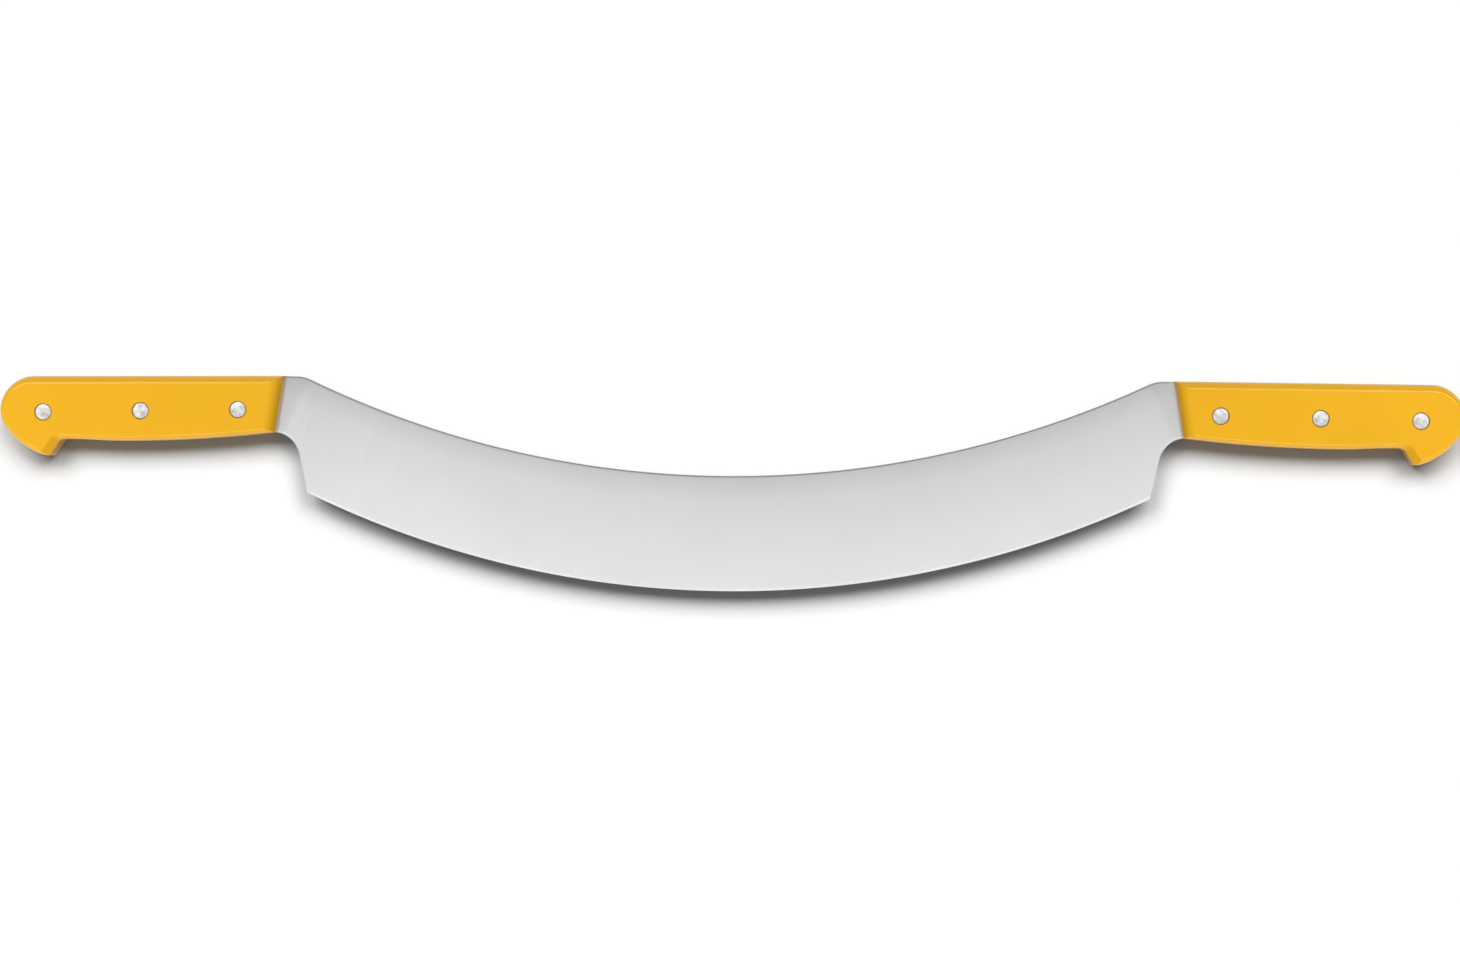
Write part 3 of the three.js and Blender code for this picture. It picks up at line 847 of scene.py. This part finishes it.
def steels():
    """Finishes of the blade: ground faces; whetted bevel, whose brighter grey on the neck is a painted
    highlight; polished spine; rough tang edge, darkened as painted shade.
    """
    return {
        FACE: steel("satin_steel", grey=0.76, smooth=0.28, rough=0.36, pitch=0.0004, depth=0.000012),
        BEVEL_AND_NECK_HIGHLIGHT: steel("whetted_steel_and_neck_highlight", grey=0.80, smooth=0.24, rough=0.34, pitch=0.0003, depth=0.000008),
        EASE: steel("polished_steel", grey=0.70, smooth=0.18, rough=0.28, pitch=0.0006, depth=0.000006),
        # Rough as-cut tang edge; its dark grey is painted shade
        RIM: steel("rough_steel_painted_shade", grey=0.42, smooth=0.36, rough=0.50, pitch=0.0008, depth=0.00002),
    }


def aluminium():
    """Bare rivet metal, blotchy from the hammer."""
    material, shader, add, link = finish_of("peened_aluminium")
    shader.inputs["Metallic"].default_value = 1.0
    place = add("ShaderNodeTexCoord").outputs["Object"]
    blotch = noise(add, place, scale=520.0, detail=3.0, roughness=0.55)
    colour = noisy_colour(add, blotch, dark=(0.72, 0.705, 0.69), light=(0.87, 0.855, 0.84))
    bump = add("ShaderNodeBump", Height=blotch, Strength=0.35, Distance=0.00015)
    link(colour, shader.inputs["Base Color"])
    link(noisy_number(add, blotch, low=0.26, high=0.44), shader.inputs["Roughness"])
    link(bump.outputs["Normal"], shader.inputs["Normal"])
    return material


# Pieces


def place_piece(name, mesh, materials, node, crease_angle):
    """An object that takes the place of a CAD node, with its materials by finish number."""
    obj = add_object(name, mesh)
    for finish in sorted(materials):
        mesh.materials.append(materials[finish])
    shade(obj, crease_angle)
    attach(obj, "root")
    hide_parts(node)
    return obj


def dress_blade():
    mesh, bevel_top = blade_mesh()
    blade = place_piece("blade_steel", mesh, steels(), "blade", BLADE_CREASE)
    crease(mesh, bevel_top)
    return blade


def dress():
    """Builds every piece of the knife and returns them by where they belong."""
    pieces = {"blade": [dress_blade()], "left": [], "right": []}
    moulded = {BODY: plastic(), SEAM: seam()}
    bare = {BODY: aluminium()}
    scale = scale_mesh()
    for side, sign in SIDES:
        for face, over in (("front", False), ("back", True)):
            node = f"{side}_{face}_scale"
            mesh = onto_knife(scale, sign, over)
            piece = place_piece(node + "_moulding", mesh, moulded, node, SCALE_CREASE)
            pieces[side].append(piece)
        for name, place in RIVET_PLACES.items():
            for half, make in (("sleeve", sleeve_mesh), ("pin", pin_mesh)):
                node = f"{side}_{name}_rivet_{half}"
                mesh = onto_knife(make(place), sign, False)
                piece = place_piece(node + "_head", mesh, bare, node, RIVET_CREASE)
                pieces[side].append(piece)
    return pieces


# Stage

CENTRE = (0, 0, 0)


def group_of(name, objects):
    group = bpy.data.collections.new(name)
    for obj in objects:
        group.objects.link(obj)
    return group


def add_lamp(name, kind, place, target, lights, turn=0.0, **settings):
    """A lamp that the camera doesn't see and that lights the given objects only."""
    data = bpy.data.lights.new(name, kind)
    for key, value in settings.items():
        setattr(data, key, value)
    lamp = add_object(name, data)
    lamp.location = place
    aim = (Vector(target) - Vector(place)).to_track_quat("-Z", "Y")
    lamp.rotation_euler = (Matrix.Rotation(turn, 3, "Z") @ aim.to_matrix()).to_euler()
    lamp.visible_camera = False
    lamp.light_linking.receiver_collection = group_of(name + "_lights", lights)
    return lamp


def rectangle(length, width, energy):
    return {"shape": "RECTANGLE", "size": length, "size_y": width, "energy": energy}


def on_side(place, sign):
    """A place given for the right half, on the side of the sign."""
    x, y, z = place
    return (x * sign, y, z)


def light_floor(floor, pieces):
    """Two wide suns for the white floor.

    Only the blade and the back scales cast the shadow, so it comes from the level of the blade
    all along the knife.
    """
    backs = [piece for piece in pieces["left"] + pieces["right"] if "back" in piece.name]
    casters = group_of("shadow_casters", pieces["blade"] + backs)
    wide = {"energy": 6.0, "angle": math.radians(38)}
    from_right = (0.5, 0.78, 1)
    for side, sign in SIDES:
        sun = add_lamp(f"{side}_sun", "SUN", on_side(from_right, sign), CENTRE, [floor], **wide)
        sun.light_linking.blocker_collection = casters


def light_blade(blade):
    """Softboxes along the curve of the blade, nearer its edge.

    Windows all round are what low views see in the steel.
    """
    curve_centre = 0.543
    curve_radius = 0.769
    height = 0.45
    energies = {-24: 0.14, -12: 0.12, 0: 0.12, 12: 0.12, 24: 0.14}
    for degrees, energy in energies.items():
        turn = math.radians(degrees)
        x = curve_radius * math.sin(turn)
        y = curve_centre - curve_radius * math.cos(turn)
        box = rectangle(length=0.14, width=0.4, energy=energy)
        add_lamp(f"blade_box_{degrees}", "AREA", (x, y, height), (x, y, 0), blade, turn, **box)
    window = rectangle(length=1.4, width=1.0, energy=2.5)
    for depth, corner in (("far", (1.75, 1.2, 1.3)), ("near", (1.75, -1.2, 1.3))):
        for side, sign in SIDES:
            add_lamp(f"{side}_{depth}_window", "AREA", on_side(corner, sign), CENTRE, blade, **window)
    wide_window = rectangle(length=2.6, width=1.35, energy=4.2)
    behind = (0, 2.2, 0.9)
    add_lamp("far_window", "AREA", behind, CENTRE, blade, **wide_window)


def light_handles(pieces):
    """Strips for the lines along the edges, and a box beyond each butt that leaves the front dim.

    Low fills, which leave no reflection, reach the roundings along the top and the underside.
    """
    both = pieces["left"] + pieces["right"]
    lower_strip = rectangle(length=1.8, width=0.04, energy=2.0)
    upper_strip = rectangle(length=0.9, width=0.04, energy=3.4)
    fill = rectangle(length=0.8, width=0.3, energy=3.4)
    box = {"shape": "SQUARE", "size": 0.8, "energy": 2.7}
    lower_place = (0, -0.45, 0.55)
    lower_target = (0, 0.03, 0)
    strip_place = (0.5, 0.42, 0.82)
    strip_target = (0.5, 0.03, 0)
    box_place = (0.95, -0.28, 0.62)
    fill_places = {"top": (0.38, 0.95, 0.3), "underside": (0.38, -0.85, 0.3)}
    grip = (0.265, 0.03, 0.01)
    add_lamp("lower_strip", "AREA", lower_place, lower_target, both, **lower_strip)
    for side, sign in SIDES:
        handle = pieces[side]
        target = on_side(grip, sign)
        over = on_side(strip_target, sign)
        add_lamp(f"{side}_strip", "AREA", on_side(strip_place, sign), over, handle, **upper_strip)
        add_lamp(f"{side}_box", "AREA", on_side(box_place, sign), target, handle, **box)
        for edge, place in fill_places.items():
            name = f"{side}_{edge}_fill"
            lamp = add_lamp(name, "AREA", on_side(place, sign), target, handle, **fill)
            lamp.visible_glossy = False


def light_world():
    """Soft room: bright overhead and on the side of the cutting edge, dimmer all round."""
    brightest = (0, -0.34, 0.94)
    greys = (0.15, 0.58)
    world = bpy.data.worlds.new("soft_room")
    bpy.context.scene.world = world
    world.use_nodes = True
    nodes, link = world.node_tree.nodes, world.node_tree.links.new
    facing = nodes.new("ShaderNodeVectorMath")
    facing.operation = "DOT_PRODUCT"
    facing.inputs[1].default_value = brightest
    link(nodes.new("ShaderNodeTexCoord").outputs["Generated"], facing.inputs[0])
    sky = nodes.new("ShaderNodeValToRGB")
    sky.color_ramp.interpolation = "EASE"
    for element, position, grey in zip(sky.color_ramp.elements, (0.0, 1.0), greys):
        element.position = position
        element.color = (grey, grey, grey, 1)
    link(facing.outputs["Value"], sky.inputs["Fac"])
    link(sky.outputs["Color"], nodes["Background"].inputs["Color"])


def add_floor():
    """Pale matt floor just under the knife. It adds no diffuse light to the knife."""
    half = 8.0
    level = -0.0002
    grey = 0.32
    mesh = bpy.data.meshes.new("floor")
    corners = [(x * half, y * half, level) for x, y in ((-1, -1), (1, -1), (1, 1), (-1, 1))]
    mesh.from_pydata(corners, [], [[0, 1, 2, 3]])
    floor = add_object("floor", mesh)
    floor.visible_diffuse = False
    material, shader, _, _ = finish_of("pale_floor")
    shader.inputs["Base Color"].default_value = (grey, grey, grey, 1)
    shader.inputs["Roughness"].default_value = 1.0
    shader.inputs["Specular IOR Level"].default_value = 0.0
    mesh.materials.append(material)
    return floor


def add_camera():
    """Above the knife and a little towards its right end, with the photograph's small turn."""
    distance = 1.8
    view_width = 0.6567
    lean = math.radians(2.76)
    turn = math.radians(0.435)
    aim = Vector((0.00143, -0.00087, HALF_HANDLE * MM))
    view = Matrix.Rotation(lean, 3, "Y") @ Matrix.Rotation(turn, 3, "Z")
    data = bpy.data.cameras.new("camera")
    data.sensor_width = 36.0
    data.lens = data.sensor_width * distance / view_width
    data.clip_end = 50.0
    camera = add_object("camera", data)
    camera.location = aim + view @ Vector((0, 0, distance))
    camera.rotation_euler = view.to_euler()
    bpy.context.scene.camera = camera


def main():
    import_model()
    pieces = dress()
    floor = add_floor()
    light_world()
    light_floor(floor, pieces)
    light_blade(pieces["blade"])
    light_handles(pieces)
    add_camera()
    bpy.context.scene.view_settings.view_transform = "Standard"


main()
